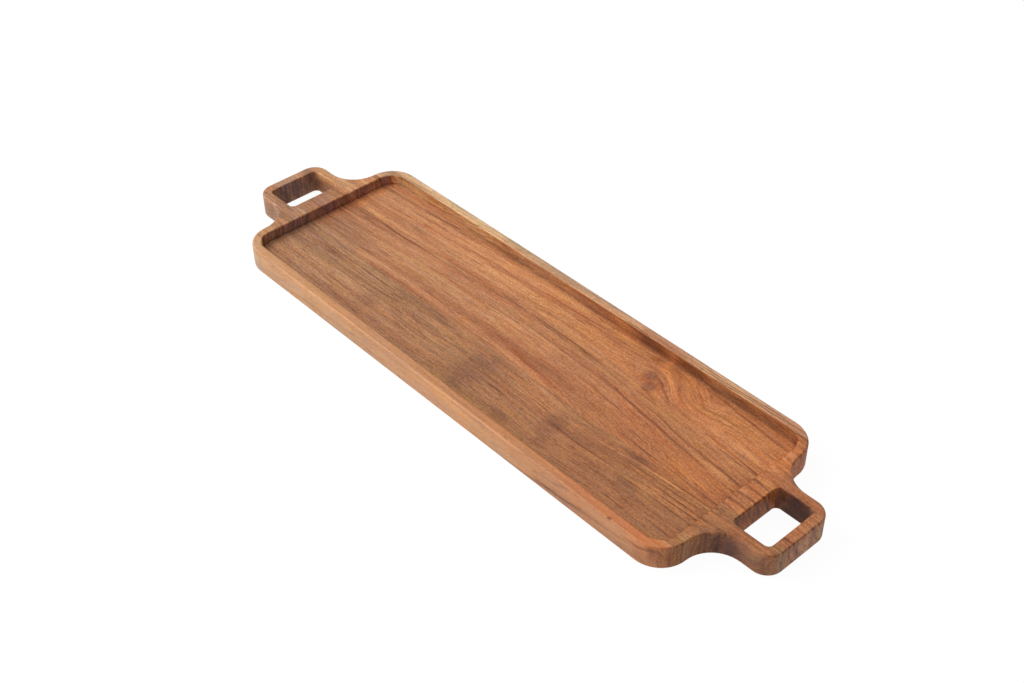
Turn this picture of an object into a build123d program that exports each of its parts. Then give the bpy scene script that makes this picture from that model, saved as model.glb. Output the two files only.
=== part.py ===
from build123d import *
import os

# A wooden serving tray: a flat panel glued up from three boards with the grain
# along its length, routed out to a shallow recess, with a looped handle cut from
# the same boards at each end.
# Sizes are in millimetres. +X runs along the length, +Y across the width, +Z up.
# The origin is the centre of the underside.

# Panel
TRAY_LENGTH = 700.0
TRAY_WIDTH = 200.0
THICKNESS = 25.0
BODY_LENGTH = 581.0
CORNER_RADIUS = 29.5

# Handles
HANDLE_WIDTH = 79.0
HANDLE_TIP_RADIUS = 16.5
NECK_RADIUS = 30.5
GRIP_WIDTH = 11.0
HOLE_SETBACK = 10.5
HOLE_WIDTH = 57.6
HOLE_CORNER_RADIUS = 5.0

# Recess
RIM_WIDTH = 10.2
RECESS_DEPTH = 11.5
RECESS_CORNER_RADIUS = 18.0
COVE_RADIUS = 1.0

# Sanded edges
OUTER_EDGE_RADIUS = 2.0
HOLE_EDGE_RADIUS = 1.8
RIM_EDGE_RADIUS = 1.8

# Glue joints, as places across the width
FRONT_JOINT_Y = -84.0
MIDDLE_JOINT_Y = -20.0

# Worked out from the sizes above
FLOOR_HEIGHT = THICKNESS - RECESS_DEPTH
RECESS_LENGTH = BODY_LENGTH - 2 * RIM_WIDTH
RECESS_WIDTH = TRAY_WIDTH - 2 * RIM_WIDTH
HOLE_START = BODY_LENGTH / 2 + HOLE_SETBACK
HOLE_END = TRAY_LENGTH / 2 - GRIP_WIDTH
HOLE_LENGTH = HOLE_END - HOLE_START
HOLE_CENTRE = (HOLE_START + HOLE_END) / 2

SAME_PLACE = 0.01


def corners_at(sketch, x, y):
    """The four corners of a sketch that lie at plus or minus x and plus or minus y."""
    return [
        corner for corner in sketch.vertices()
        if abs(abs(corner.X) - x) < SAME_PLACE and abs(abs(corner.Y) - y) < SAME_PLACE
    ]


def lowest_and_highest(edges):
    """The edges of a prism's two flat ends."""
    levels = edges.group_by(Axis.Z)
    return levels[0] + levels[-1]


def joint_plane(y):
    """The upright plane along the tray, facing the rear, where two boards are glued."""
    return Plane(origin=(0, y, 0), x_dir=(1, 0, 0), z_dir=(0, 1, 0))


# The shaped panel, before it is divided into its three boards
with BuildPart() as panel:
    with BuildSketch() as outline:
        Rectangle(BODY_LENGTH, TRAY_WIDTH)
        Rectangle(TRAY_LENGTH, HANDLE_WIDTH)
        fillet(corners_at(outline, BODY_LENGTH / 2, TRAY_WIDTH / 2), CORNER_RADIUS)
        fillet(corners_at(outline, BODY_LENGTH / 2, HANDLE_WIDTH / 2), NECK_RADIUS)
        fillet(corners_at(outline, TRAY_LENGTH / 2, HANDLE_WIDTH / 2), HANDLE_TIP_RADIUS)
    extrude(amount=THICKNESS)
    fillet(lowest_and_highest(panel.edges()), OUTER_EDGE_RADIUS)

    # The finger hole through each handle
    with BuildSketch():
        with Locations((-HOLE_CENTRE, 0), (HOLE_CENTRE, 0)):
            RectangleRounded(HOLE_LENGTH, HOLE_WIDTH, HOLE_CORNER_RADIUS)
    extrude(amount=THICKNESS, mode=Mode.SUBTRACT)
    fillet(lowest_and_highest(panel.edges(Select.LAST)), HOLE_EDGE_RADIUS)

    # The recess, with a small cove where its walls meet its floor
    with BuildSketch(Plane.XY.offset(FLOOR_HEIGHT)):
        RectangleRounded(RECESS_LENGTH, RECESS_WIDTH, RECESS_CORNER_RADIUS)
    extrude(amount=RECESS_DEPTH, mode=Mode.SUBTRACT)
    fillet(panel.edges(Select.LAST).group_by(Axis.Z)[-1], RIM_EDGE_RADIUS)
    fillet(panel.edges().filter_by_position(Axis.Z, FLOOR_HEIGHT, FLOOR_HEIGHT), COVE_RADIUS)

# The narrow strip that makes the front edge
with BuildPart() as front_strip:
    add(panel.part)
    split(bisect_by=joint_plane(FRONT_JOINT_Y), keep=Keep.BOTTOM)

# The board behind it, which carries the front third of both handles
with BuildPart() as front_board:
    add(panel.part)
    split(bisect_by=joint_plane(FRONT_JOINT_Y), keep=Keep.TOP)
    split(bisect_by=joint_plane(MIDDLE_JOINT_Y), keep=Keep.BOTTOM)

# The wide board, which carries the rest of the handles and the rear edge
with BuildPart() as rear_board:
    add(panel.part)
    split(bisect_by=joint_plane(MIDDLE_JOINT_Y), keep=Keep.TOP)

os.makedirs("parts", exist_ok=True)

front_strip.part.label = "front_strip"
export_step(front_strip.part, "parts/front_strip.step")

front_board.part.label = "front_board"
export_step(front_board.part, "parts/front_board.step")

rear_board.part.label = "rear_board"
export_step(rear_board.part, "parts/rear_board.step")
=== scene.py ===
"""Looks of the wooden serving tray: three glued boards, oiled wood, a white studio."""
import math

import bpy
from mathutils import Matrix, Vector


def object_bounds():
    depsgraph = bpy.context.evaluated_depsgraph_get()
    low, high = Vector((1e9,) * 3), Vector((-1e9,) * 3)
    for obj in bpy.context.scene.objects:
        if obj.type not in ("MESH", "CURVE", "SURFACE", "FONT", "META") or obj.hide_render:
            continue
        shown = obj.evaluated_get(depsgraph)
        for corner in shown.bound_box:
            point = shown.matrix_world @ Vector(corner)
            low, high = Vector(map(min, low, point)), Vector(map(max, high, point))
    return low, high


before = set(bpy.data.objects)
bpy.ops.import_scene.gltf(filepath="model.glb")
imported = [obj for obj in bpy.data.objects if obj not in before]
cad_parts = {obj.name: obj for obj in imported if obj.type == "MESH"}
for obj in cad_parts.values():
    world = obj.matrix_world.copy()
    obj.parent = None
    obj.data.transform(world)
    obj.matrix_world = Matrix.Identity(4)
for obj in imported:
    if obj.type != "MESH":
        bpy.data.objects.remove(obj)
cad_low, cad_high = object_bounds()

# ---------------------------------------------------------------- camera

CAMERA_AZIMUTH = 48.10
CAMERA_ELEVATION = 40.22
CAMERA_ROLL = -0.70
CAMERA_DISTANCE = 1.3881
CAMERA_TARGET = Vector((-0.0074, 0.0121, 0.0))
CAMERA_LENS = 51.43
CAMERA_SENSOR = 36.0


def direction(azimuth, elevation):
    """The unit vector towards a place seen at that azimuth and elevation, in degrees."""
    a = math.radians(azimuth)
    e = math.radians(elevation)
    return Vector((math.sin(a) * math.cos(e), -math.cos(a) * math.cos(e), math.sin(e)))


def make_camera():
    data = bpy.data.cameras.new("camera")
    data.sensor_width = CAMERA_SENSOR
    data.lens = CAMERA_LENS
    camera = bpy.data.objects.new("camera", data)
    bpy.context.scene.collection.objects.link(camera)
    turn = math.radians(CAMERA_AZIMUTH)
    back = direction(CAMERA_AZIMUTH, CAMERA_ELEVATION)
    level = Vector((math.cos(turn), math.sin(turn), 0.0))
    roll = Matrix.Rotation(math.radians(CAMERA_ROLL), 3, back)
    right = roll @ level
    up = roll @ back.cross(level)
    facing = Matrix((right, up, back)).transposed().to_4x4()
    camera.matrix_world = Matrix.Translation(CAMERA_TARGET + back * CAMERA_DISTANCE) @ facing
    bpy.context.scene.camera = camera


# ---------------------------------------------------------------- shader graph helper


class Graph:
    """Adds shader nodes to a material. All its methods but node and feed return outputs."""

    def __init__(self, name):
        self.material = bpy.data.materials.new(name)
        self.material.use_nodes = True
        self.nodes = self.material.node_tree.nodes
        self.links = self.material.node_tree.links
        self.nodes.clear()

    def node(self, kind, **settings):
        made = self.nodes.new(kind)
        for key, value in settings.items():
            setattr(made, key, value)
        return made

    def feed(self, socket, value):
        """Sets a socket to a constant, or links it when the value is another socket."""
        if isinstance(value, bpy.types.NodeSocket):
            self.links.new(value, socket)
        else:
            socket.default_value = value

    def math(self, operation, *values, clamp=False):
        made = self.node("ShaderNodeMath", operation=operation, use_clamp=clamp)
        for socket, value in zip(made.inputs, values):
            self.feed(socket, value)
        return made.outputs[0]

    def vector(self, operation, *values, scale=None):
        made = self.node("ShaderNodeVectorMath", operation=operation)
        for socket, value in zip(made.inputs, values):
            self.feed(socket, value)
        if scale is not None:
            self.feed(made.inputs["Scale"], scale)
        return made.outputs[0]

    def length(self, vector):
        made = self.node("ShaderNodeVectorMath", operation="LENGTH")
        self.feed(made.inputs[0], vector)
        return made.outputs["Value"]

    def combine(self, x, y, z):
        made = self.node("ShaderNodeCombineXYZ")
        for socket, value in zip(made.inputs, (x, y, z)):
            self.feed(socket, value)
        return made.outputs[0]

    def split(self, vector):
        made = self.node("ShaderNodeSeparateXYZ")
        self.feed(made.inputs[0], vector)
        return made.outputs

    def smooth(self, value, none, full, base=0.0):
        """A smooth step from 0 at none to 1 at full, both counted from base."""
        made = self.node("ShaderNodeMapRange", interpolation_type="SMOOTHSTEP")
        self.feed(made.inputs["Value"], value)
        made.inputs["From Min"].default_value = base + min(none, full)
        made.inputs["From Max"].default_value = base + max(none, full)
        made.inputs["To Min"].default_value = 0.0 if none < full else 1.0
        made.inputs["To Max"].default_value = 1.0 if none < full else 0.0
        return made.outputs[0]

    def noise(self, vector, detail, roughness):
        made = self.node("ShaderNodeTexNoise", noise_dimensions="3D")
        self.feed(made.inputs["Vector"], vector)
        made.inputs["Scale"].default_value = 1.0
        made.inputs["Detail"].default_value = detail
        made.inputs["Roughness"].default_value = roughness
        return made.outputs["Fac"]

    def cells(self, vector):
        """Distance to the nearest cell centre, and a random number for that cell."""
        made = self.node("ShaderNodeTexVoronoi", feature="F1")
        self.feed(made.inputs["Vector"], vector)
        made.inputs["Scale"].default_value = 1.0
        return made.outputs["Distance"], self.split(made.outputs["Color"])[0]

    def curve(self, value, points, value_range, result_range):
        """A smooth curve through a few (value, result) points."""
        made = self.node("ShaderNodeFloatCurve")
        start, end = value_range
        lowest, highest = result_range
        placed = [((v - start) / (end - start), (r - lowest) / (highest - lowest)) for v, r in points]
        line = made.mapping.curves[0]
        line.points[0].location = placed[0]
        line.points[1].location = placed[-1]
        for place in placed[1:-1]:
            line.points.new(*place)
        made.mapping.update()
        part = self.math("DIVIDE", self.math("SUBTRACT", value, start), end - start)
        self.feed(made.inputs["Value"], part)
        return self.math("MULTIPLY_ADD", made.outputs[0], highest - lowest, lowest)

    def ramp(self, value, stops):
        made = self.node("ShaderNodeValToRGB")
        elements = made.color_ramp.elements
        elements[0].position, elements[0].color = stops[0]
        elements[1].position, elements[1].color = stops[-1]
        for position, colour in stops[1:-1]:
            elements.new(position).color = colour
        self.feed(made.inputs[0], value)
        return made.outputs[0]

    def cast(self, colour, by, *amounts):
        """A colour multiplied by another, as far as the product of the amounts says."""
        amount = amounts[0]
        for more in amounts[1:]:
            amount = self.math("MULTIPLY", amount, more)
        return self.mix(amount, colour, by, "MULTIPLY")

    def mix(self, factor, a, b, blend="MIX"):
        made = self.node("ShaderNodeMix", data_type="RGBA", blend_type=blend)
        colour_inputs = [socket for socket in made.inputs if socket.type == "RGBA"]
        self.feed(made.inputs["Factor"], factor)
        self.feed(colour_inputs[0], a)
        self.feed(colour_inputs[1], b)
        return next(socket for socket in made.outputs if socket.type == "RGBA")


# ---------------------------------------------------------------- colours


def linear(red, green, blue):
    """A colour given as 0 to 255 screen values, in the linear light that shaders use."""
    def channel(value):
        v = value / 255.0
        return v / 12.92 if v <= 0.04045 else ((v + 0.055) / 1.055) ** 2.4

    return (channel(red), channel(green), channel(blue), 1.0)


def tint(red, green, blue):
    """A multiplying tint: 1 leaves a channel as it is."""
    return (red, green, blue, 1.0)


# Tints that every part of the wood uses
RED_CAST = tint(1.03, 0.84, 0.74)
OLIVE_CAST = tint(0.95, 1.02, 0.90)
ORANGE_TINGE = tint(1.05, 0.985, 0.80)
GREY_TINGE = tint(0.955, 1.00, 1.16)
CLOUD_CAST = tint(0.80, 0.80, 0.84)
LINE_CAST = tint(0.46, 0.38, 0.34)
PORE_CAST = tint(0.52, 0.46, 0.42)
END_CAST = tint(0.66, 0.61, 0.59)
# Painted shade for the inside corner of the recess
CORNER_SHADE = tint(0.50, 0.44, 0.42)
CUT_DARK = tint(0.70, 0.65, 0.74)
CUT_LIGHT = tint(1.24, 1.24, 1.17)

# Tints of single rings and spots: the darker ones first, then the lighter
# Painted shade for the inside of a finger hole
HOLE_SHADE = tint(0.17, 0.15, 0.23)
UMBER = tint(0.50, 0.42, 0.38)
RUSTY = tint(0.80, 0.64, 0.52)
SMOKY = tint(0.70, 0.68, 0.80)
CLOUDY = tint(0.75, 0.72, 0.77)
DULL = tint(0.74, 0.75, 0.80)
RUDDY = tint(0.88, 0.78, 0.66)
DUSKY = tint(0.80, 0.77, 0.80)
SHADY = tint(0.80, 0.83, 0.92)
TAWNY = tint(0.95, 0.89, 0.85)
GREY_EDGE = tint(0.82, 0.94, 1.14)
FIERY = tint(1.17, 1.01, 0.88)
AMBER = tint(1.10, 1.05, 0.97)
GREY_CAST = tint(0.86, 0.95, 1.40)
GLOW = tint(1.16, 1.12, 1.00)
ASHEN = tint(0.95, 1.08, 1.28)
PALE_OLIVE = tint(1.04, 1.20, 1.28)
STRAW = tint(1.17, 1.25, 1.14)
HONEY = tint(1.16, 1.22, 1.20)
EMBER = tint(1.34, 1.20, 1.05)
BRIGHT = tint(1.22, 1.22, 1.16)
CHALKY = tint(1.02, 1.25, 1.45)
PALE = tint(1.31, 1.57, 1.52)
CREAM = tint(1.36, 1.42, 1.62)
VIOLET = tint(1.24, 1.36, 2.05)
# Painted sheen: the pale reflection on the end faces of the right handle
PAINTED_SHEEN = tint(1.20, 1.66, 2.40)
LIT_CORNER = tint(2.30, 2.80, 2.85)

# Colours of the sapwood
SAP_PALE = linear(216, 175, 130)
SAP_BUFF = linear(197, 156, 117)
SAP_TAN = linear(211, 161, 118)
SAP_BROWN = linear(184, 144, 109)
SAP_RUSSET = linear(190, 134, 99)


# ---------------------------------------------------------------- wood

MM_PER_M = 1000.0

# The tray from end to end, and the range that holds every shift and level, in millimetres
TRAY_SPAN = (-350.0, 350.0)
SHIFT_SPAN = (-120.0, 120.0)

# The recess, the finger holes, and the height where their rounded edges begin, as in the CAD
FLOOR_HEIGHT = 13.5
RECESS_HALF_LENGTH = 280.3
RECESS_HALF_WIDTH = 89.8
RECESS_RADIUS = 18.0
HOLE_CENTRE = 320.0
HOLE_HALF_LENGTH = 19.0
HOLE_HALF_WIDTH = 28.8
TOP_EDGE = 23.2

# Textures: the size of their features in millimetres (along the grain, across it and
# through the board), where they start, their detail and their roughness
WOBBLE = ((95.0, 26.0, 26.0), 0.0, 1.0, 0.5)
RIPPLE = ((28.0, 8.0, 8.0), 0.0, 2.0, 0.5)
WAVER = ((28.0, 8.0, 8.0), 2.9, 3.0, 0.5)
BANDS = ((420.0, 13.0, 60.0), 3.1, 3.0, 0.6)
STREAKS = ((200.0, 4.0, 40.0), 5.7, 3.0, 0.55)
FIBRES = ((26.0, 1.2, 8.0), 7.9, 3.0, 0.7)
MOTTLE = ((2.2, 1.6, 1.6), 8.5, 1.0, 0.7)
HUES = ((190.0, 12.0, 60.0), 9.3, 3.0, 0.6)
TINGES = ((30.0, 3.2, 20.0), 10.1, 2.0, 0.6)
RINGS = ((420.0, 11.0, 60.0), 11.3, 3.0, 0.55)
RING_GAPS = ((60.0, 9.0, 60.0), 13.9, 3.0, 0.5)
CLOUDS = ((46.0, 30.0, 40.0), 17.1, 2.0, 0.5)
SPOT_EDGE = ((16.0, 7.0, 20.0), 18.3, 3.0, 0.6)
CUT_STREAKS = ((60.0, 4.4, 90.0), 23.1, 2.0, 0.6)
PORE_SIZE = (13.0, 2.3, 2.3)
PORE_START = 19.7

# A texture's start moves it by itself along the board, and by these many times as much
# across the board and through it
START_ACROSS = 1.7
START_THROUGH = 2.3

# Where an effect begins and where it is full, as values of its texture
REDDER_FROM = (0.50, 0.74)
YELLOWER_FROM = (0.50, 0.28)
ORANGE_FROM = (0.46, 0.72)
GREY_FROM = (0.54, 0.28)
CLOUD_FROM = (0.50, 0.72)
RING_SHOWS_FROM = (0.36, 0.56)
CUT_DARK_FROM = (0.50, 0.64)
CUT_LIGHT_FROM = (0.48, 0.34)
PORE_REACH = (0.30, 0.12)
PORE_CHANCE = (0.30, 0.60)

# The same for how far a face turns towards the end of the board
END_FACING = (0.25, 0.95)
CUT_FACING = (0.12, 0.50)

# The same in millimetres: along the tray, out from the recess walls, and up
RIGHT_END = (-220.0, 240.0)
SAPWOOD_OUT = (0.1, 0.9)
SAPWOOD_EDGE = (0.0, 1.6)
SAPWOOD_LINE = (0.9, 0.0)
CORNER_INSIDE = (-2.2, -0.8)
CORNER_OUTSIDE = (2.0, 1.0)
CORNER_ABOVE_FLOOR = (2.5, 0.8)
CORNER_BELOW_FLOOR = (-2.0, -1.0)
INNER_EDGE_MIDDLE = 0.9
INNER_EDGE_REACH = (1.5, 0.8)
INNER_EDGE_RISE = (-1.0, 0.0)
HOLE_WALL_REACH = (2.4, 1.2)
HOLE_WALL_TOP = (2.0, 1.2)

# The same as a share of a spot's half size
SPOT_REACH = (1.25, 0.45)

# A line is full over this share of its half width, and its ends fade over these millimetres
LINE_CORE = 0.25
LINE_FADE = 14.0

# Strengths
RINGS_PER_NOISE = 9.0
WAVER_SWING = 2.0
SPOT_EDGE_SWING = 1.0
LEAST_LINE = 0.4
SAPWOOD_SHADE = (0.55, 0.9)
SAPWOOD_AMOUNT = 0.9
SAPWOOD_LINE_AMOUNT = 0.45
# How strong the painted shade in the recess corner is
CORNER_SHADE_AMOUNT = 0.6
ROUGHER_FIBRES = 0.16
ROUGHER_PORES = 0.2
ROUGHER_CORNER = 0.4
FIBRE_RELIEF = 0.5
PORE_RELIEF = -0.9
BUMP_STRENGTH = 0.5
BUMP_HEIGHT = 0.00015
OIL_IOR = 1.45
OILED_SPECULAR = 0.5
DULL_SPECULAR = 0.14


def stretched(g, along, across, through, size, start):
    """Coordinates for a texture whose features have the given size in millimetres."""
    return g.combine(
        g.math("MULTIPLY_ADD", along, 1.0 / size[0], start),
        g.math("MULTIPLY_ADD", across, 1.0 / size[1], start * START_ACROSS),
        g.math("MULTIPLY_ADD", through, 1.0 / size[2], start * START_THROUGH),
    )


def texture(g, along, across, through, kind, timber):
    """One of the textures listed above, from 0 to 1, which each timber starts elsewhere."""
    size, start, detail, roughness = kind
    return g.noise(stretched(g, along, across, through, size, timber["seed"] + start), detail, roughness)


def centred(g, value, swing):
    """A 0 to 1 texture turned into plus or minus half the swing."""
    return g.math("MULTIPLY_ADD", value, swing, -0.5 * swing)


def distance_from(g, place, centre, size):
    """Distance from a point, measured so that it is 1 on the egg of that half size."""
    offset = g.vector("SUBTRACT", place, centre)
    return g.length(g.vector("DIVIDE", offset, size))


def bell(g, place, centre, size):
    """1 at a point, falling smoothly to nothing about two sizes away."""
    far = distance_from(g, place, centre, size)
    return g.math("EXPONENT", g.math("MULTIPLY", g.math("MULTIPLY", far, far), -1.0))


def parted_by_knot(g, place, across, knot):
    """The across-board coordinate with the grain parted round a knot."""
    centre, size, strength = knot
    squeeze = g.math("MULTIPLY_ADD", bell(g, place, centre, size), -strength, 1.0)
    return g.math("MULTIPLY_ADD", g.math("SUBTRACT", across, centre[1]), squeeze, centre[1])


def swept_aside(g, place, across, sweep):
    """The across-board coordinate with the grain turned off its line in one area."""
    centre, size, slope = sweep
    offset = g.math("MULTIPLY_ADD", g.split(place)[0], slope, -slope * centre[0])
    return g.math("MULTIPLY_ADD", bell(g, place, centre, size), offset, across)


def level_on_floor(g, y, z, timber):
    """Where a growth ring through this place would cut the level of the recess floor."""
    height = g.math("SUBTRACT", z, FLOOR_HEIGHT)
    return g.math("MULTIPLY_ADD", height, timber["lean"], y)


def ring_drift(g, x, y, timber):
    """How far the rings of a board have wandered across it, at this place along it."""
    near = g.curve(x, timber["drift_front"], TRAY_SPAN, SHIFT_SPAN)
    far = g.curve(x, timber["drift_rear"], TRAY_SPAN, SHIFT_SPAN)
    front_y, rear_y = timber["span"]
    width = rear_y - front_y
    share = g.math("MULTIPLY_ADD", y, 1.0 / width, -front_y / width, clamp=True)
    return g.math("MULTIPLY_ADD", share, g.math("SUBTRACT", far, near), near)


def growth_rings(g, place, timber):
    """An across-board coordinate that follows the grain: it is the same all along a ring."""
    x, y, z = g.split(place)
    across = level_on_floor(g, y, z, timber)
    for knot in timber["knots"]:
        across = parted_by_knot(g, place, across, knot)
    for sweep in timber["sweeps"]:
        across = swept_aside(g, place, across, sweep)
    ring = g.math("SUBTRACT", across, ring_drift(g, x, y, timber))
    wobble = texture(g, x, y, z, WOBBLE, timber)
    ripple = texture(g, x, y, z, RIPPLE, timber)
    ring = g.math("ADD", ring, centred(g, wobble, timber["wobble"]))
    return g.math("ADD", ring, centred(g, ripple, timber["ripple"]))


def out_from_recess(g, place):
    """Distance outside the rectangle of the recess's corner centres: its radius at its walls."""
    x, y, z = g.split(place)
    over_x = g.math("SUBTRACT", g.math("ABSOLUTE", x), RECESS_HALF_LENGTH - RECESS_RADIUS)
    over_y = g.math("SUBTRACT", g.math("ABSOLUTE", y), RECESS_HALF_WIDTH - RECESS_RADIUS)
    return g.length(g.combine(g.math("MAXIMUM", over_x, 0.0), g.math("MAXIMUM", over_y, 0.0), 0.0))


def recess_corner(g, place):
    """1 in the inside corner where the walls of the recess meet its floor."""
    z = g.split(place)[2]
    out = out_from_recess(g, place)
    near_wall = g.smooth(out, *CORNER_INSIDE, base=RECESS_RADIUS)
    short_of_outside = g.smooth(out, *CORNER_OUTSIDE, base=RECESS_RADIUS)
    low = g.smooth(z, *CORNER_ABOVE_FLOOR, base=FLOOR_HEIGHT)
    above = g.smooth(z, *CORNER_BELOW_FLOOR, base=FLOOR_HEIGHT)
    round_wall = g.math("MULTIPLY", near_wall, short_of_outside)
    return g.math("MULTIPLY", round_wall, g.math("MULTIPLY", low, above))


def inner_edge(g, place):
    """1 on the rounded edge between the rim and the walls of the recess."""
    past_wall = g.math("SUBTRACT", out_from_recess(g, place), RECESS_RADIUS + INNER_EDGE_MIDDLE)
    near = g.smooth(g.math("ABSOLUTE", past_wall), *INNER_EDGE_REACH)
    return g.math("MULTIPLY", near, g.smooth(g.split(place)[2], *INNER_EDGE_RISE, base=TOP_EDGE))


def hole_wall(g, place):
    """1 on the walls of the finger holes, which took little oil."""
    x, y, z = g.split(place)
    off_centre = g.math("SUBTRACT", g.math("ABSOLUTE", x), HOLE_CENTRE)
    over_x = g.math("SUBTRACT", g.math("ABSOLUTE", off_centre), HOLE_HALF_LENGTH)
    over_y = g.math("SUBTRACT", g.math("ABSOLUTE", y), HOLE_HALF_WIDTH)
    inside = g.smooth(g.math("MAXIMUM", over_x, over_y), *HOLE_WALL_REACH)
    return g.math("MULTIPLY", inside, g.smooth(z, *HOLE_WALL_TOP, base=TOP_EDGE))


def grain_tone(g, x, ring, z, fibres, timber):
    """How light the wood is, from 0 to 1: its bands, streaks, fibres and mottle."""
    bands = texture(g, x, ring, z, BANDS, timber)
    streaks = texture(g, x, ring, z, STREAKS, timber)
    mottle = texture(g, x, ring, z, MOTTLE, timber)
    tone = g.math("ADD", 0.5, centred(g, bands, timber["bands"]))
    tone = g.math("ADD", tone, centred(g, streaks, timber["streaks"]))
    tone = g.math("ADD", tone, centred(g, fibres, timber["fibres"]))
    return g.math("ADD", tone, centred(g, mottle, timber["mottle"]), clamp=True)


def with_hues(g, colour, x, ring, z, timber):
    """Slow and quick changes of hue along the rings, and a change along the tray that is partly the wood's
    and partly painted sheen.
    """
    hue = texture(g, x, ring, z, HUES, timber)
    colour = g.cast(colour, RED_CAST, g.smooth(hue, *REDDER_FROM), timber["red"])
    colour = g.cast(colour, OLIVE_CAST, g.smooth(hue, *YELLOWER_FROM), timber["olive"])
    tinge = texture(g, x, ring, z, TINGES, timber)
    colour = g.cast(colour, ORANGE_TINGE, g.smooth(tinge, *ORANGE_FROM))
    colour = g.cast(colour, GREY_TINGE, g.smooth(tinge, *GREY_FROM))
    # Warmer towards the right end: partly the wood's own colour, partly painted light that stands in for a
    # pale sheen on the left end and not on the right
    return g.cast(colour, timber["right_warmth_and_sheen"], g.smooth(x, *RIGHT_END))


def with_clouds_and_spots(g, colour, place, timber):
    """Soft patches across the grain: dark clouds at random, and spots in set places."""
    x, y, z = g.split(place)
    clouds = texture(g, x, y, z, CLOUDS, timber)
    colour = g.cast(colour, CLOUD_CAST, g.smooth(clouds, *CLOUD_FROM), timber["cloud"])
    edge = centred(g, texture(g, x, y, z, SPOT_EDGE, timber), SPOT_EDGE_SWING)
    for centre, size, amount, spot_tint in timber["spots"]:
        far = g.math("ADD", distance_from(g, place, centre, size), edge)
        colour = g.cast(colour, spot_tint, g.smooth(far, *SPOT_REACH), amount)
    return colour


def with_sapwood(g, colour, place, tone, waver, timber):
    """Pale outer wood along the rim, which meets the brown wood at a sharp line."""
    x, y, z = g.split(place)
    starts = g.curve(x, timber["sapwood_from"], TRAY_SPAN, SHIFT_SPAN)
    beyond = g.math("SUBTRACT", level_on_floor(g, y, z, timber), starts)
    beyond = g.math("ADD", beyond, waver)
    on_rim = g.smooth(out_from_recess(g, place), *SAPWOOD_OUT, base=RECESS_RADIUS)
    line = g.smooth(g.math("ABSOLUTE", beyond), *SAPWOOD_LINE)
    colour = g.cast(colour, LINE_CAST, line, on_rim, SAPWOOD_LINE_AMOUNT)
    start, end = TRAY_SPAN
    along = g.math("MULTIPLY_ADD", x, 1.0 / (end - start), -start / (end - start))
    stops = [((stop_x - start) / (end - start), stop_colour) for stop_x, stop_colour in timber["sapwood"]]
    darkest, range_of_shade = SAPWOOD_SHADE
    shade = g.math("MULTIPLY_ADD", tone, range_of_shade, darkest)
    pale = g.mix(1.0, g.ramp(along, stops), g.combine(shade, shade, shade), "MULTIPLY")
    share = g.math("MULTIPLY", g.smooth(beyond, *SAPWOOD_EDGE), on_rim)
    return g.mix(g.math("MULTIPLY", share, SAPWOOD_AMOUNT), colour, pale)


def with_fine_rings(g, colour, x, ring, z, gaps, timber):
    """Thin dark late-wood lines, broken along their length."""
    contour = texture(g, x, ring, z, RINGS, timber)
    step = g.math("FRACT", g.math("MULTIPLY", contour, RINGS_PER_NOISE))
    off_line = g.math("ABSOLUTE", g.math("SUBTRACT", step, 0.5))
    line = g.smooth(off_line, timber["line_width"], 0.0)
    return g.cast(colour, LINE_CAST, line, gaps, timber["line"])


def with_lines(g, colour, x, level, gaps, timber):
    """Single growth rings that stand out, and a few painted highlight and shade lines, each along a curve
    of (x, level) points.
    """
    shown = g.math("MULTIPLY_ADD", gaps, 1.0 - LEAST_LINE, LEAST_LINE)
    for points, half_width, amount, line_tint in timber["lines"]:
        start = points[0][0]
        end = points[-1][0]
        reach = 0.5 * (end - start)
        off_middle = g.math("ABSOLUTE", g.math("SUBTRACT", x, 0.5 * (start + end)))
        along = g.smooth(off_middle, reach, reach - LINE_FADE)
        path = g.curve(x, points, (start, end), SHIFT_SPAN)
        away = g.math("ABSOLUTE", g.math("SUBTRACT", level, path))
        across = g.smooth(away, half_width, LINE_CORE * half_width)
        colour = g.cast(colour, line_tint, along, across, shown, amount)
    return colour


def open_pores(g, x, ring, z, timber):
    """1 in the open pores: short dashes along the grain, dots on a cut end."""
    start = timber["seed"] + PORE_START
    distance, number = g.cells(stretched(g, x, ring, z, PORE_SIZE, start))
    return g.math("MULTIPLY", g.smooth(distance, *PORE_REACH), g.smooth(number, *PORE_CHANCE))


def with_cut_ends(g, colour, place, facing, timber):
    """Cut ends drink more oil and look darker, and the rings are upright streaks on them."""
    x, y, z = g.split(place)
    colour = g.cast(colour, END_CAST, g.smooth(facing, *END_FACING))
    cut = texture(g, x, y, z, CUT_STREAKS, timber)
    on_cut = g.smooth(facing, *CUT_FACING)
    colour = g.cast(colour, CUT_DARK, g.smooth(cut, *CUT_DARK_FROM), on_cut)
    return g.cast(colour, CUT_LIGHT, g.smooth(cut, *CUT_LIGHT_FROM), on_cut)


def relief(g, fibres, pore):
    """The slight relief of the fibres and pores, as a normal."""
    bump = g.node("ShaderNodeBump")
    bump.inputs["Strength"].default_value = BUMP_STRENGTH
    bump.inputs["Distance"].default_value = BUMP_HEIGHT
    height = g.math("MULTIPLY_ADD", pore, PORE_RELIEF, g.math("MULTIPLY", fibres, FIBRE_RELIEF))
    g.feed(bump.inputs["Height"], height)
    return bump.outputs["Normal"]


def oiled(g, colour, roughness, dull, normal):
    """Satin oil, dull where the wood drank it."""
    shader = g.node("ShaderNodeBsdfPrincipled")
    g.feed(shader.inputs["Base Color"], colour)
    g.feed(shader.inputs["Roughness"], roughness)
    g.feed(shader.inputs["Normal"], normal)
    shader.inputs["IOR"].default_value = OIL_IOR
    specular = g.math("MULTIPLY_ADD", dull, DULL_SPECULAR - OILED_SPECULAR, OILED_SPECULAR)
    g.feed(shader.inputs["Specular IOR Level"], specular)
    output = g.node("ShaderNodeOutputMaterial")
    g.links.new(shader.outputs["BSDF"], output.inputs["Surface"])


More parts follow.
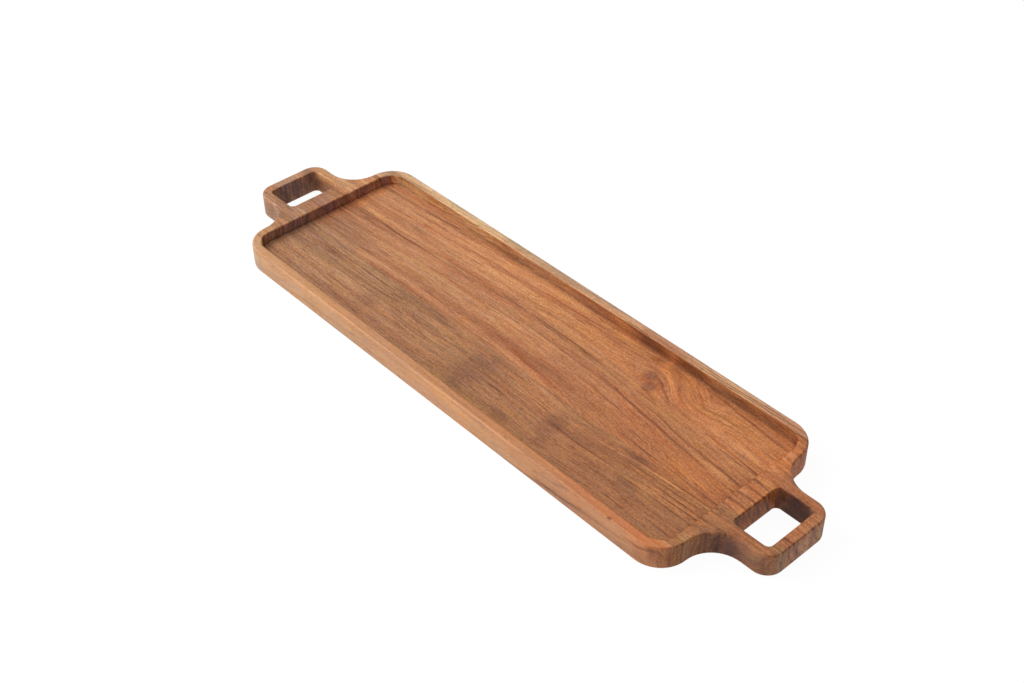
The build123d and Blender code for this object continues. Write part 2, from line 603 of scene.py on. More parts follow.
def wood(name, timber):
    """Oiled hardwood as a solid: the same rings, fibres and pores run through every face."""
    g = Graph(name)
    place = g.vector("SCALE", g.node("ShaderNodeTexCoord").outputs["Object"], scale=MM_PER_M)
    facing = g.math("ABSOLUTE", g.split(g.node("ShaderNodeNewGeometry").outputs["Normal"])[0])
    x, y, z = g.split(place)
    ring = growth_rings(g, place, timber)

    # The wood itself
    fibres = texture(g, x, ring, z, FIBRES, timber)
    tone = grain_tone(g, x, ring, z, fibres, timber)
    colour = g.ramp(tone, [(0.0, timber["dark"]), (0.5, timber["middle"]), (1.0, timber["light"])])
    colour = with_hues(g, colour, x, ring, z, timber)
    colour = with_clouds_and_spots(g, colour, place, timber)
    waver = centred(g, texture(g, x, y, z, WAVER, timber), WAVER_SWING)
    if "sapwood" in timber:
        colour = with_sapwood(g, colour, place, tone, waver, timber)

    # Its lines and pores
    gaps = g.smooth(texture(g, x, ring, z, RING_GAPS, timber), *RING_SHOWS_FROM)
    colour = with_fine_rings(g, colour, x, ring, z, gaps, timber)
    level = g.math("ADD", level_on_floor(g, y, z, timber), waver)
    colour = with_lines(g, colour, x, level, gaps, timber)
    pore = open_pores(g, x, ring, z, timber)
    colour = g.cast(colour, PORE_CAST, pore, timber["pore"])

    # Painted shade in the inside corner of the recess, where the walls meet its floor; the corner is
    # rougher there too
    corner = recess_corner(g, place)
    colour = g.cast(colour, CORNER_SHADE, corner, CORNER_SHADE_AMOUNT)
    colour = with_cut_ends(g, colour, place, facing, timber)

    roughness = g.math("MULTIPLY_ADD", fibres, ROUGHER_FIBRES, timber["roughness"] - 0.5 * ROUGHER_FIBRES)
    roughness = g.math("MULTIPLY_ADD", pore, ROUGHER_PORES, roughness)
    roughness = g.math("MULTIPLY_ADD", corner, ROUGHER_CORNER, roughness, clamp=True)
    end_grain = g.smooth(facing, *END_FACING)
    dull = g.math("MAXIMUM", g.math("MAXIMUM", end_grain, hole_wall(g, place)), inner_edge(g, place))
    oiled(g, colour, roughness, dull, relief(g, fibres, pore))
    return g.material


# ---------------------------------------------------------------- the three boards

# Amounts are from 0 to 1 and sizes in millimetres.
# span: the board's front and rear edge; lean: how far a ring moves across for each
#     millimetre up; drift_front and drift_rear: (x, shift) of the rings at those edges.
# wobble, ripple, bands, streaks, fibres, mottle: how strong each texture is.
# line, line_width: how dark and how wide the fine rings are.
# dark, middle, light: the colours of the wood; right_warmth_and_sheen: the tint of its right end, partly
# the wood's warmer colour and partly painted light for the pale sheen on the left end.
# red, olive, cloud, pore: how strong each of those tints is.
# A knot: centre, half size, and how hard it parts the grain.
# A sweep: centre, half size, and the slope that it gives the grain.
# A line: (x, level) points, half width, amount and tint. Its level is its place across
#     the board where its ring cuts the recess floor.
# A spot: centre, half size, amount and tint.
# The sapwood: (x, colour) along the rim, and the (x, level) points where it begins.
REAR_TIMBER = {
    "seed": 4.0,
    "span": (-20.0, 90.0),
    "drift_front": [
        (-350.0, -1.0), (-200.0, 0.0), (-80.0, 3.0), (20.0, 3.0), (80.0, -1.0), (150.0, -9.0),
        (350.0, -34.0),
    ],
    "drift_rear": [
        (-350.0, -16.0), (-200.0, -6.0), (-100.0, 1.0), (0.0, 8.0), (60.0, 9.0), (160.0, 6.0),
        (350.0, -5.0),
    ],
    "lean": 0.43,
    "wobble": 6.0,
    "ripple": 1.0,
    "bands": 1.2,
    "streaks": 0.5,
    "fibres": 1.1,
    "mottle": 0.8,
    "line": 0.65,
    "line_width": 0.11,
    "dark": linear(122, 72, 44),
    "middle": linear(170, 112, 74),
    "light": linear(208, 154, 110),
    "right_warmth_and_sheen": tint(1.06, 0.92, 0.76),
    "red": 0.8,
    "olive": 0.8,
    "cloud": 0.2,
    "pore": 0.6,
    "roughness": 0.5,
    "knots": [((132.0, 58.0, 14.0), (26.0, 16.0, 60.0), 0.4)],
    "sweeps": [((160.0, 68.0, 14.0), (34.0, 20.0, 60.0), 0.55)],
    "lines": [
        # Along the floor
        (
            [(-290.0, 74.5), (-250.0, 76.0), (-220.0, 77.5), (-190.0, 80.0), (-155.0, 83.5)],
            1.7, 0.75, LINE_CAST,
        ),
        ([(-230.0, 68.0), (-208.0, 68.5), (-165.0, 73.5)], 1.5, 0.6, LINE_CAST),
        ([(-272.0, 56.5), (-240.0, 57.5), (-205.0, 60.0)], 1.5, 0.75, LINE_CAST),
        ([(-205.0, 62.0), (-175.0, 62.5), (-135.0, 66.5), (-95.0, 69.0)], 1.6, 0.65, LINE_CAST),
        ([(-290.0, 33.0), (-230.0, 31.5), (-200.0, 31.0), (-145.0, 36.5)], 1.6, 0.8, LINE_CAST),
        ([(-285.0, 28.0), (-200.0, 28.0), (-170.0, 30.0)], 5.0, 0.8, DUSKY),
        ([(-300.0, 38.0), (-220.0, 38.5), (-130.0, 41.0)], 7.0, 0.9, HONEY),
        ([(-160.0, 36.0), (-125.0, 40.0), (-90.0, 39.0), (-45.0, 38.0)], 3.5, 0.8, RUSTY),
        ([(-280.0, 46.0), (-215.0, 45.5), (-160.0, 44.0)], 1.6, 0.5, RUSTY),
        ([(-285.0, 12.0), (-240.0, 11.0), (-190.0, 14.0), (-130.0, 18.0), (-40.0, 18.5)], 3.5, 0.8, RUSTY),
        (
            [(-62.0, 44.0), (-30.0, 42.0), (20.0, 42.7), (75.0, 40.2), (120.0, 34.0), (145.0, 29.5)],
            1.6, 0.7, LINE_CAST,
        ),
        ([(120.0, 30.0), (160.0, 28.0), (200.0, 21.5), (240.0, 18.0), (290.0, 12.0)], 1.7, 0.75, LINE_CAST),
        ([(88.0, 28.5), (125.0, 24.0), (170.0, 18.0), (210.0, 12.0), (245.0, 9.0)], 1.6, 0.7, LINE_CAST),
        ([(-60.0, 71.0), (-10.0, 75.0), (30.0, 77.0), (75.0, 81.0)], 1.5, 0.55, LINE_CAST),
        ([(-5.0, 8.0), (40.0, 5.0), (90.0, 0.0)], 3.0, 0.8, RUSTY),
        ([(0.0, -5.0), (30.0, -8.0), (90.0, -14.0)], 3.0, 0.9, RUSTY),
        ([(205.0, 43.0), (245.0, 38.0), (290.0, 36.0)], 3.0, 0.8, RUSTY),
        ([(175.0, 86.0), (230.0, 80.0), (290.0, 74.0)], 1.8, 0.6, LINE_CAST),
        ([(150.0, 4.5), (200.0, -1.0), (230.0, -10.0)], 2.0, 0.7, RUSTY),
        ([(150.0, -12.0), (215.0, -14.0), (290.0, -16.0)], 1.1, 0.8, LINE_CAST),
        # Round the knot
        (
            [(106.0, 70.0), (122.0, 71.0), (133.0, 69.5), (143.0, 63.0), (152.0, 54.0), (172.0, 40.0)],
            3.0, 1.0, DUSKY,
        ),
        ([(106.0, 50.0), (124.0, 52.0), (134.0, 57.0), (144.0, 52.0), (162.0, 42.0)], 2.2, 0.25, GLOW),
        ([(118.0, 76.0), (131.0, 78.0), (142.0, 70.0), (153.0, 60.0), (170.0, 47.0)], 3.6, 1.0, GLOW),
        ([(122.0, 94.0), (145.0, 80.0), (154.0, 70.0), (163.0, 60.0), (185.0, 46.0)], 3.6, 0.6, RUSTY),
        ([(142.0, 92.0), (158.0, 76.0), (172.0, 62.0), (192.0, 50.0)], 3.4, 1.0, GLOW),
        ([(155.0, 90.0), (172.0, 76.0), (195.0, 60.0)], 3.0, 0.8, RUSTY),
        # Along the rear rim
        ([(20.0, 96.5), (90.0, 98.5), (160.0, 101.0)], 1.0, 0.7, RUSTY),
        ([(60.0, 95.5), (130.0, 98.0), (190.0, 101.0)], 0.9, 0.9, LINE_CAST),
        ([(120.0, 95.5), (190.0, 98.0), (262.0, 101.5)], 0.9, 0.9, LINE_CAST),
        ([(170.0, 95.5), (225.0, 97.0), (285.0, 100.0)], 0.9, 0.8, LINE_CAST),
        ([(-265.0, 104.0), (265.0, 104.0)], 2.8, 0.9, GREY_EDGE),
        ([(-50.0, 104.0), (-12.0, 101.2), (15.0, 100.8), (42.0, 102.4), (75.0, 105.0)], 2.8, 1.0, SHADY),
        # Stripes across the rim at the right end
        ([(268.0, -5.0), (314.0, -6.5)], 2.0, 0.7, UMBER),
        ([(268.0, 52.5), (314.0, 52.5)], 3.2, 1.0, BRIGHT),
        ([(268.0, 60.0), (314.0, 60.0)], 2.6, 1.0, RUDDY),
        ([(268.0, 45.3), (314.0, 45.3)], 2.2, 1.0, SHADY),
        ([(266.0, 5.8), (312.0, 4.3)], 2.6, 0.9, UMBER),
        ([(268.0, 15.8), (314.0, 14.3)], 2.4, 0.8, UMBER),
        ([(266.0, 26.3), (312.0, 24.3)], 3.0, 1.0, UMBER),
        ([(268.0, 40.0), (310.0, 38.5)], 2.0, 0.5, UMBER),
        # Stripes across the tip of the right handle
        ([(322.0, -15.5), (360.0, -15.5)], 2.0, 0.6, UMBER),
        ([(322.0, -7.2), (360.0, -7.2)], 2.2, 1.0, UMBER),
        ([(322.0, 5.6), (360.0, 5.6)], 2.2, 1.0, BRIGHT),
        ([(322.0, 17.5), (360.0, 17.5)], 2.2, 0.7, UMBER),
        ([(322.0, 25.0), (360.0, 25.0)], 2.2, 0.7, UMBER),
    ],
    "spots": [
        # On the floor
        ((20.0, 68.0, 14.0), (250.0, 24.0, 40.0), 1.0, BRIGHT),
        ((240.0, 62.0, 14.0), (70.0, 30.0, 40.0), 0.6, BRIGHT),
        ((-262.0, -4.0, 14.0), (70.0, 24.0, 40.0), 1.0, SHADY),
        ((165.0, 0.0, 14.0), (50.0, 22.0, 40.0), 1.0, TAWNY),
        ((165.0, 52.0, 14.0), (40.0, 34.0, 40.0), 0.8, TAWNY),
        ((85.0, 15.0, 14.0), (48.0, 34.0, 40.0), 0.5, DUSKY),
        ((-212.0, 38.0, 14.0), (75.0, 15.0, 30.0), 0.5, BRIGHT),
        ((240.0, -5.0, 14.0), (40.0, 22.0, 30.0), 1.0, AMBER),
        ((235.0, -19.0, 14.0), (50.0, 4.0, 30.0), 0.5, RUSTY),
        ((288.0, 58.0, 14.0), (22.0, 30.0, 40.0), 0.5, EMBER),
        ((238.0, 3.0, 14.0), (42.0, 18.0, 30.0), 0.4, STRAW),
        # In the knot and round it
        ((126.0, 62.0, 14.0), (8.0, 9.0, 30.0), 1.0, SMOKY),
        ((135.0, 48.0, 14.0), (6.5, 8.0, 30.0), 1.0, SMOKY),
        ((148.0, 47.0, 14.0), (6.0, 4.0, 30.0), 0.4, GLOW),
        ((132.0, 60.0, 14.0), (9.0, 9.0, 30.0), 0.65, SMOKY),
        ((130.0, 58.0, 14.0), (27.0, 13.0, 30.0), 0.6, DUSKY),
        ((140.0, 40.0, 14.0), (17.0, 5.0, 30.0), 0.8, RUDDY),
        ((140.0, 82.0, 13.0), (18.0, 6.0, 8.0), 0.9, RUDDY),
        ((131.0, 76.0, 14.0), (9.0, 4.0, 30.0), 0.8, GLOW),
        ((127.0, 86.0, 14.0), (4.0, 8.0, 30.0), 0.7, EMBER),
        ((115.0, 82.0, 14.0), (7.0, 5.0, 20.0), 0.9, RUSTY),
        # On the left wall of the recess
        ((-277.0, 35.0, 13.5), (11.0, 60.0, 4.0), 1.0, FIERY),
        ((-281.0, 0.0, 19.0), (4.0, 90.0, 6.0), 1.0, VIOLET),
        ((-273.0, 86.5, 20.0), (5.5, 4.5, 6.5), 1.0, LIT_CORNER),
        ((-279.5, 79.0, 19.0), (3.5, 6.0, 8.0), 1.0, VIOLET),
        ((-281.0, 60.0, 21.0), (4.0, 12.0, 4.0), 1.0, DUSKY),
        # On the rear wall of the recess
        ((85.0, 90.0, 13.0), (60.0, 6.0, 8.0), 0.8, RUSTY),
        ((100.0, 90.0, 18.0), (24.0, 5.0, 6.0), 0.75, UMBER),
        ((148.0, 90.0, 18.0), (20.0, 5.0, 6.0), 0.75, UMBER),
        ((225.0, 90.0, 17.0), (60.0, 5.0, 7.0), 0.4, UMBER),
        ((-175.0, 90.0, 18.0), (85.0, 4.0, 8.0), 1.0, STRAW),
        ((-40.0, 90.0, 18.0), (70.0, 4.0, 8.0), 0.9, PALE_OLIVE),
        ((-180.0, 90.0, 18.0), (80.0, 4.0, 8.0), 0.5, PALE_OLIVE),
        ((150.0, 90.0, 18.0), (150.0, 4.0, 9.0), 0.9, PALE_OLIVE),
        ((-268.0, 90.0, 19.0), (42.0, 4.0, 9.0), 0.8, PALE),
        ((-240.0, 90.0, 20.0), (34.0, 4.0, 6.0), 0.6, STRAW),
        ((20.0, 90.0, 18.0), (30.0, 4.0, 8.0), 1.0, DUSKY),
        ((20.0, 90.0, 18.0), (30.0, 4.0, 8.0), 0.6, TAWNY),
        ((130.0, 90.0, 18.0), (40.0, 4.0, 8.0), 0.6, RUDDY),
        # On top of the rim and the handles
        ((85.0, 92.0, 25.0), (45.0, 3.0, 4.0), 0.6, RUSTY),
        ((325.0, 35.0, 25.0), (34.0, 9.0, 9.0), 0.9, DUSKY),
        ((292.0, 6.0, 25.0), (15.0, 30.0, 6.0), 1.0, BRIGHT),
        ((-275.0, 92.0, 25.0), (24.0, 22.0, 8.0), 0.6, TAWNY),
        ((-286.0, 20.0, 25.0), (8.0, 45.0, 6.0), 0.6, HONEY),
        ((-345.0, 0.0, 25.0), (8.0, 42.0, 8.0), 0.5, CHALKY),
        ((-320.0, 36.0, 25.0), (36.0, 9.0, 14.0), 1.0, PALE),
        # On the ends, the handles and the walls of their holes
        # Painted sheen on the end face of the right handle
        ((353.0, 0.0, 11.0), (7.5, 90.0, 20.0), 1.0, PAINTED_SHEEN),
        ((-338.0, 0.0, 12.0), (5.0, 42.0, 14.0), 0.8, GREY_CAST),
        ((-320.0, 29.0, 12.0), (19.0, 4.0, 12.0), 0.8, TAWNY),
        # Painted shade on the rear wall of the right finger hole
        ((322.0, 27.5, 10.0), (28.0, 3.2, 26.0), 1.0, HOLE_SHADE),
        ((-322.0, 29.0, 8.0), (24.0, 4.0, 14.0), 0.5, UMBER),
        ((-342.0, 10.0, 8.0), (6.0, 30.0, 14.0), 0.4, UMBER),
        ((-340.0, 0.0, 14.0), (60.0, 70.0, 40.0), 1.0, ASHEN),
        ((298.0, 20.0, 8.0), (41.0, 110.0, 17.0), 0.5, RUDDY),
        ((301.0, 3.0, 12.0), (5.0, 34.0, 18.0), 1.0, GLOW),
        ((301.0, 0.0, 12.0), (5.0, 40.0, 20.0), 0.6, STRAW),
        ((-338.0, 0.0, 12.0), (5.0, 42.0, 14.0), 0.5, PALE_OLIVE),
        ((302.0, 27.0, 12.0), (4.0, 5.0, 18.0), 1.0, FIERY),
        ((324.0, 29.0, 4.0), (34.0, 5.0, 18.0), 0.9, SHADY),
    ],
    "sapwood": [
        (-278.0, SAP_BROWN),
        (-200.0, SAP_PALE),
        (-112.0, SAP_PALE),
        (-104.0, SAP_BUFF),
        (-40.0, SAP_BROWN),
        (-8.0, SAP_BROWN),
        (30.0, SAP_TAN),
        (78.0, SAP_TAN),
        (90.0, SAP_RUSSET),
        (125.0, SAP_RUSSET),
        (160.0, SAP_TAN),
        (205.0, SAP_TAN),
        (265.0, SAP_RUSSET),
    ],
    "sapwood_from": [
        (-350.0, 74.0), (-285.0, 76.5), (-240.0, 84.0), (-200.0, 91.5), (-60.0, 93.2), (0.0, 93.2),
        (350.0, 93.2),
    ],
}

FRONT_TIMBER = {
    "seed": 21.0,
    "span": (-84.0, -20.0),
    "drift_front": [
        (-350.0, 0.0), (-60.0, -1.0), (0.0, 2.0), (60.0, 1.0), (150.0, 1.0), (200.0, 3.0),
        (350.0, 4.0),
    ],
    "drift_rear": [
        (-350.0, 0.0), (-60.0, 0.0), (0.0, 2.0), (60.0, 1.0), (120.0, -3.0), (200.0, 6.0),
        (350.0, 12.0),
    ],
    "lean": -0.26,
    "wobble": 4.0,
    "ripple": 1.0,
    "bands": 0.8,
    "streaks": 0.55,
    "fibres": 1.3,
    "mottle": 0.9,
    "line": 0.7,
    "line_width": 0.11,
    "dark": linear(112, 72, 48),
    "middle": linear(162, 113, 77),
    "light": linear(194, 144, 103),
    "right_warmth_and_sheen": tint(1.02, 0.88, 0.74),
    "red": 0.6,
    "olive": 0.8,
    "cloud": 0.2,
    "pore": 0.65,
    "roughness": 0.5,
    "knots": [],
    "sweeps": [],
    "lines": [
        # Along the floor
        ([(-290.0, -26.0), (-245.0, -27.0), (-200.0, -27.5)], 1.4, 0.5, LINE_CAST),
        ([(-300.0, -43.5), (-230.0, -43.5), (-165.0, -42.5), (-110.0, -39.0)], 1.5, 0.7, LINE_CAST),
        ([(-290.0, -41.0), (-230.0, -41.0), (-165.0, -40.0), (-120.0, -38.0)], 1.3, 0.8, HONEY),
        ([(-205.0, -61.0), (-165.0, -62.0), (-130.0, -60.0)], 1.6, 0.4, LINE_CAST),
        ([(-118.0, -62.5), (-70.0, -61.5)], 1.5, 0.55, LINE_CAST),
        ([(-115.0, -52.0), (-60.0, -53.5), (-15.0, -50.5), (20.0, -48.0)], 1.8, 0.5, LINE_CAST),
        ([(-75.0, -52.0), (-40.0, -50.5), (-10.0, -47.8), (25.0, -45.0)], 1.2, 0.9, HONEY),
        ([(15.0, -53.0), (50.0, -54.0), (110.0, -55.0)], 1.5, 0.65, LINE_CAST),
        ([(5.0, -47.0), (60.0, -50.0), (100.0, -51.0)], 2.5, 0.7, RUSTY),
        ([(100.0, -47.0), (155.0, -48.5), (220.0, -43.0)], 1.6, 0.6, LINE_CAST),
        ([(140.0, -50.5), (185.0, -48.0), (240.0, -44.5)], 1.3, 0.9, HONEY),
        ([(200.0, -42.0), (235.0, -42.0), (290.0, -40.5)], 1.4, 0.75, LINE_CAST),
        ([(130.0, -56.0), (185.0, -57.5)], 2.0, 0.6, RUSTY),
        ([(115.0, -34.8), (160.0, -32.5), (210.0, -26.5), (250.0, -24.8), (300.0, -22.5)], 1.4, 1.0, CREAM),
        ([(175.0, -26.5), (210.0, -24.2), (250.0, -22.6), (296.0, -20.6)], 1.6, 0.9, RUSTY),
        ([(205.0, -65.0), (240.0, -69.0), (285.0, -70.0)], 1.5, 0.6, LINE_CAST),
        # Fine dark rings at both ends of the floor
        ([(-280.0, -31.0), (-200.0, -31.5), (-130.0, -30.0)], 0.9, 0.8, LINE_CAST),
        ([(-255.0, -34.5), (-170.0, -35.0), (-105.0, -33.0)], 0.8, 0.7, LINE_CAST),
        ([(-265.0, -23.0), (-190.0, -23.5), (-120.0, -22.5)], 0.8, 0.7, LINE_CAST),
        ([(-245.0, -38.0), (-150.0, -37.5), (-95.0, -36.0)], 0.8, 0.7, LINE_CAST),
        ([(-235.0, -48.0), (-150.0, -48.5), (-90.0, -47.0)], 0.8, 0.6, LINE_CAST),
        ([(180.0, -33.0), (240.0, -31.5), (296.0, -30.5)], 0.9, 0.8, LINE_CAST),
        ([(175.0, -38.0), (235.0, -36.5), (296.0, -35.5)], 0.9, 0.7, LINE_CAST),
        ([(185.0, -49.5), (240.0, -48.5), (296.0, -47.5)], 0.9, 0.8, LINE_CAST),
        ([(165.0, -62.0), (230.0, -60.0), (296.0, -59.0)], 0.9, 0.7, LINE_CAST),
        # Stripes across the rim at the left end
        ([(-300.0, -71.0), (-272.0, -71.0)], 3.2, 1.0, SHADY),
        ([(-300.0, -63.0), (-272.0, -63.0)], 2.4, 0.9, SHADY),
        ([(-300.0, -47.0), (-272.0, -47.0)], 2.6, 1.0, BRIGHT),
        # On the front bar of the right handle
        ([(292.0, -38.5), (346.0, -38.5)], 1.2, 0.9, RUDDY),
        ([(292.0, -36.4), (346.0, -36.4)], 1.2, 1.0, BRIGHT),
    ],
    "spots": [
        # On the floor
        ((-262.0, -30.0, 14.0), (60.0, 30.0, 40.0), 0.7, SHADY),
        ((-138.0, -60.0, 14.0), (16.0, 14.0, 30.0), 1.0, DUSKY),
        ((-95.0, -27.0, 14.0), (50.0, 8.0, 30.0), 1.0, DUSKY),
        ((8.0, -50.0, 14.0), (20.0, 28.0, 30.0), 1.0, CLOUDY),
        ((112.0, -48.0, 14.0), (13.0, 20.0, 30.0), 1.0, CLOUDY),
        ((120.0, -72.0, 14.0), (9.0, 9.0, 30.0), 1.0, DUSKY),
        ((194.0, -25.0, 14.0), (16.0, 7.0, 30.0), 1.0, DUSKY),
        ((206.0, -53.0, 14.0), (16.0, 5.0, 30.0), 1.0, DUSKY),
        ((72.0, -75.0, 14.0), (16.0, 7.0, 30.0), 1.0, DUSKY),
        ((85.0, -34.0, 14.0), (50.0, 12.0, 30.0), 0.8, BRIGHT),
        ((-205.0, -63.0, 14.0), (85.0, 20.0, 30.0), 0.5, HONEY),
        ((-15.0, -33.0, 14.0), (150.0, 12.0, 30.0), 0.4, HONEY),
        ((165.0, -38.0, 14.0), (50.0, 24.0, 40.0), 1.0, TAWNY),
        ((240.0, -32.0, 14.0), (45.0, 16.0, 30.0), 1.0, AMBER),
        ((235.0, -20.0, 14.0), (50.0, 4.0, 30.0), 0.5, RUSTY),
        ((238.0, -34.0, 14.0), (42.0, 12.0, 30.0), 0.4, GLOW),
        # On the left wall of the recess
        ((-281.0, -40.0, 19.0), (4.0, 50.0, 6.0), 1.0, VIOLET),
        # On top of the rim and the handles
        ((287.0, -48.0, 25.0), (10.0, 26.0, 6.0), 0.6, AMBER),
        ((-284.0, -77.0, 25.0), (15.0, 14.0, 8.0), 1.0, HONEY),
        ((-286.0, -45.0, 25.0), (8.0, 36.0, 6.0), 0.6, BRIGHT),
        ((-325.0, -35.0, 25.0), (32.0, 8.0, 9.0), 0.7, SHADY),
        ((325.0, -35.0, 25.0), (32.0, 8.0, 9.0), 1.0, TAWNY),
        # On the ends, the handles and the walls of their holes
        # The concave neck of the right handle is darker: partly its own end grain, partly painted shade
        ((307.0, -43.0, 8.0), (15.0, 11.0, 18.0), 0.9, UMBER),
        # Painted shade on the front side of the right handle
        ((332.0, -40.0, 8.0), (30.0, 7.0, 14.0), 1.0, DULL),
        ((-332.0, -40.0, 8.0), (30.0, 7.0, 14.0), 1.0, DULL),
        ((-330.0, -20.0, 14.0), (60.0, 70.0, 40.0), 0.3, ASHEN),
        ((298.0, -40.0, 8.0), (41.0, 110.0, 17.0), 0.4, RUDDY),
        ((291.0, -70.0, 10.0), (12.0, 15.0, 26.0), 1.0, PALE_OLIVE),
        ((309.0, -42.0, 10.0), (18.0, 10.0, 22.0), 0.7, RUSTY),
        ((296.0, -53.0, 10.0), (9.0, 10.0, 24.0), 0.5, GREY_CAST),
        ((296.0, -53.0, 10.0), (9.0, 10.0, 24.0), 0.5, DULL),
        ((328.0, -40.0, 8.0), (26.0, 6.0, 16.0), 0.9, TAWNY),
        ((328.0, -40.0, 8.0), (26.0, 6.0, 16.0), 1.0, OLIVE_CAST),
        ((326.0, -40.0, 10.0), (26.0, 6.0, 16.0), 1.0, RUDDY),
        # Painted sheen on the end face of the right handle
        ((353.0, -10.0, 11.0), (7.5, 60.0, 20.0), 1.0, PAINTED_SHEEN),
    ],
}

STRIP_TIMBER = {
    "seed": 37.0,
    "span": (-100.0, -84.0),
    "drift_front": [(-350.0, 0.0), (-100.0, 1.0), (100.0, -1.0), (350.0, 2.0)],
    "drift_rear": [(-350.0, 0.0), (-100.0, 1.0), (100.0, -1.0), (350.0, 2.0)],
    "lean": 0.3,
    "wobble": 3.0,
    "ripple": 0.8,
    "bands": 0.8,
    "streaks": 0.5,
    "fibres": 0.8,
    "mottle": 0.7,
    "line": 0.4,
    "line_width": 0.09,
    "dark": linear(150, 98, 60),
    "middle": linear(184, 132, 90),
    "light": linear(206, 158, 116),
    "right_warmth_and_sheen": tint(1.04, 0.88, 0.76),
    "red": 0.5,
    "olive": 0.5,
    "cloud": 0.2,
    "pore": 0.4,
    "roughness": 0.5,
    "knots": [],
    "sweeps": [],
    "lines": [
        # Along the outer side and its edges
        (
            [
                (90.0, -104.6), (200.0, -101.1), (220.0, -100.5),
                (253.0, -99.3), (266.0, -98.0), (288.0, -86.0),
            ],
            0.8, 0.9, UMBER,
        ),
        # A painted highlight along the rounded top edge of the outer side
        ([(-230.0, -96.6), (-60.0, -96.6), (150.0, -96.6)], 1.1, 0.8, BRIGHT),
        # Painted shade along the bottom edge of the outer side, where it meets the floor
        ([(-265.0, -104.2), (0.0, -104.2), (275.0, -104.2)], 0.9, 0.6, DULL),
        ([(-30.0, -99.2), (30.0, -98.8), (80.0, -99.4)], 1.2, 0.7, HONEY),
        ([(110.0, -105.6), (200.0, -103.2), (250.0, -102.0), (290.0, -98.0)], 2.0, 0.6, TAWNY),
    ],
    "spots": [
        # On the top edge
        ((231.0, -99.0, 25.0), (3.0, 2.0, 2.0), 1.0, UMBER),
        ((225.0, -92.0, 25.0), (80.0, 9.0, 5.0), 0.9, RED_CAST),
        ((268.0, -92.0, 25.0), (24.0, 12.0, 5.0), 0.6, FIERY),
        ((75.0, -92.0, 25.0), (60.0, 9.0, 4.0), 0.8, TAWNY),
        # On the outer side
        ((253.0, -100.0, 5.0), (16.0, 4.0, 2.6), 0.9, DUSKY),
        ((270.0, -86.0, 12.0), (18.0, 18.0, 12.0), 0.6, RUSTY),
        ((-292.0, -92.0, 8.0), (26.0, 26.0, 14.0), 1.0, CHALKY),
        ((-273.0, -98.0, 11.0), (24.0, 14.0, 20.0), 0.6, GREY_CAST),
        ((-273.0, -98.0, 11.0), (24.0, 14.0, 20.0), 0.8, PALE_OLIVE),
        ((60.0, -100.0, 18.0), (110.0, 5.0, 8.0), 0.35, STRAW),
        ((-175.0, -100.0, 6.0), (90.0, 5.0, 8.0), 0.35, PALE_OLIVE),
        ((270.0, -98.0, 12.0), (16.0, 8.0, 16.0), 0.7, TAWNY),
        ((100.0, -100.0, 6.0), (50.0, 5.0, 7.0), 0.6, PALE_OLIVE),
        ((262.0, -99.0, 18.5), (26.0, 6.0, 1.3), 0.9, RUSTY),
        ((-175.0, -100.0, 18.0), (110.0, 4.0, 8.0), 0.6, HONEY),
        ((205.0, -100.0, 18.0), (60.0, 4.0, 8.0), 0.7, TAWNY),
        ((205.0, -100.0, 6.0), (60.0, 4.0, 8.0), 0.6, SHADY),
    ],
}

TIMBERS = {
    "rear_board": REAR_TIMBER,
    "front_board": FRONT_TIMBER,
    "front_strip": STRIP_TIMBER,
}


def dress_boards():
    for node, timber in TIMBERS.items():
        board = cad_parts[node]
        material = wood(node + "_wood", timber)
        for slot in board.material_slots:
            slot.material = material


# ---------------------------------------------------------------- studio

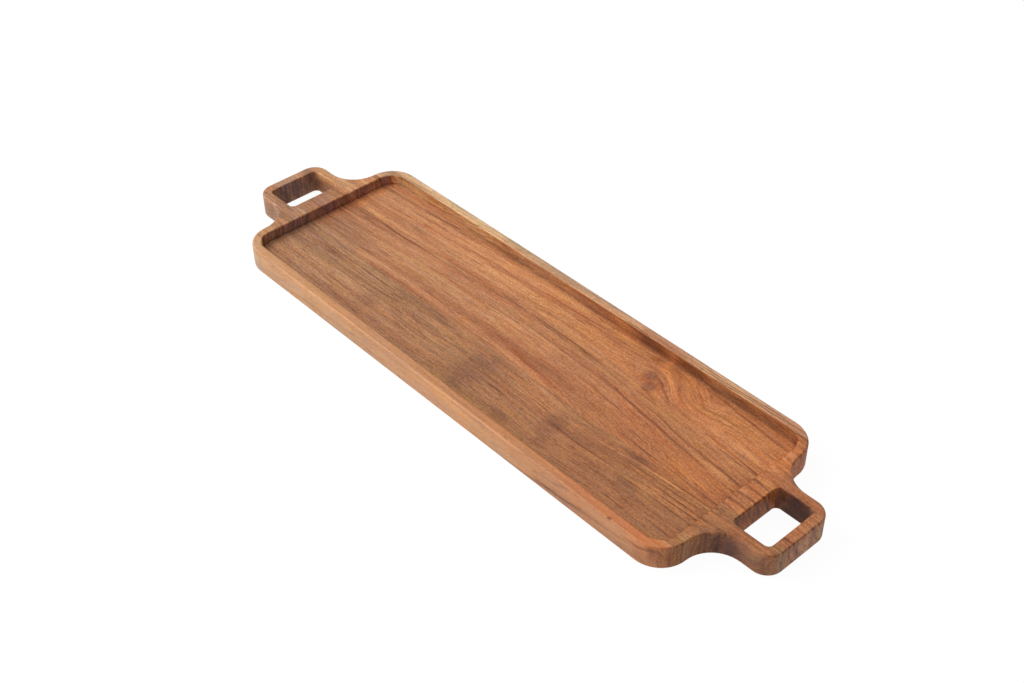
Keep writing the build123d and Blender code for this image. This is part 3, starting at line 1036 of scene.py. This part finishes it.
FLOOR_SIZE = 60.0
FLOOR_DROP = 0.0002
FLOOR_COLOUR = (0.05, 0.05, 0.05, 1.0)
FLOOR_ROUGHNESS = 0.9
FLOOR_SPECULAR = 0.1
FLOOR_GLOW = 0.955
WHITE = (1.0, 1.0, 1.0, 1.0)
SKY_STRENGTH = 0.42
KEY_LAMP = {"azimuth": -54.0, "elevation": 39.0, "distance": 2.0, "size": 1.5, "power": 38.0}
TOP_LAMP = {"azimuth": -45.0, "elevation": 89.0, "distance": 1.6, "size": 2.0, "power": 7.0}


def pale_floor():
    """A floor as white as the studio behind it, which still takes a faint shadow."""
    g = Graph("pale_floor")
    shader = g.node("ShaderNodeBsdfPrincipled")
    shader.inputs["Base Color"].default_value = FLOOR_COLOUR
    shader.inputs["Roughness"].default_value = FLOOR_ROUGHNESS
    shader.inputs["Specular IOR Level"].default_value = FLOOR_SPECULAR
    shader.inputs["Emission Color"].default_value = WHITE
    shader.inputs["Emission Strength"].default_value = FLOOR_GLOW
    output = g.node("ShaderNodeOutputMaterial")
    g.links.new(shader.outputs["BSDF"], output.inputs["Surface"])
    return g.material


def make_floor():
    half = FLOOR_SIZE / 2
    corners = [(-half, -half, 0.0), (half, -half, 0.0), (half, half, 0.0), (-half, half, 0.0)]
    mesh = bpy.data.meshes.new("studio_floor")
    mesh.from_pydata(corners, [], [(0, 1, 2, 3)])
    mesh.materials.append(pale_floor())
    floor = bpy.data.objects.new("studio_floor", mesh)
    floor.location.z = cad_low.z - FLOOR_DROP
    bpy.context.scene.collection.objects.link(floor)


def make_lamp(name, azimuth, elevation, distance, size, power):
    """A square soft lamp that points at the origin."""
    data = bpy.data.lights.new(name, "AREA")
    data.shape = "SQUARE"
    data.size = size
    data.energy = power
    lamp = bpy.data.objects.new(name, data)
    back = direction(azimuth, elevation)
    lamp.location = back * distance
    lamp.rotation_euler = back.to_track_quat("Z", "Y").to_euler()
    bpy.context.scene.collection.objects.link(lamp)


def make_light():
    world = bpy.data.worlds.new("studio")
    world.use_nodes = True
    background = world.node_tree.nodes["Background"]
    background.inputs["Color"].default_value = WHITE
    background.inputs["Strength"].default_value = SKY_STRENGTH
    bpy.context.scene.world = world
    make_lamp("key", **KEY_LAMP)
    make_lamp("top", **TOP_LAMP)
    bpy.context.scene.view_settings.view_transform = "Standard"


make_camera()
dress_boards()
make_floor()
make_light()
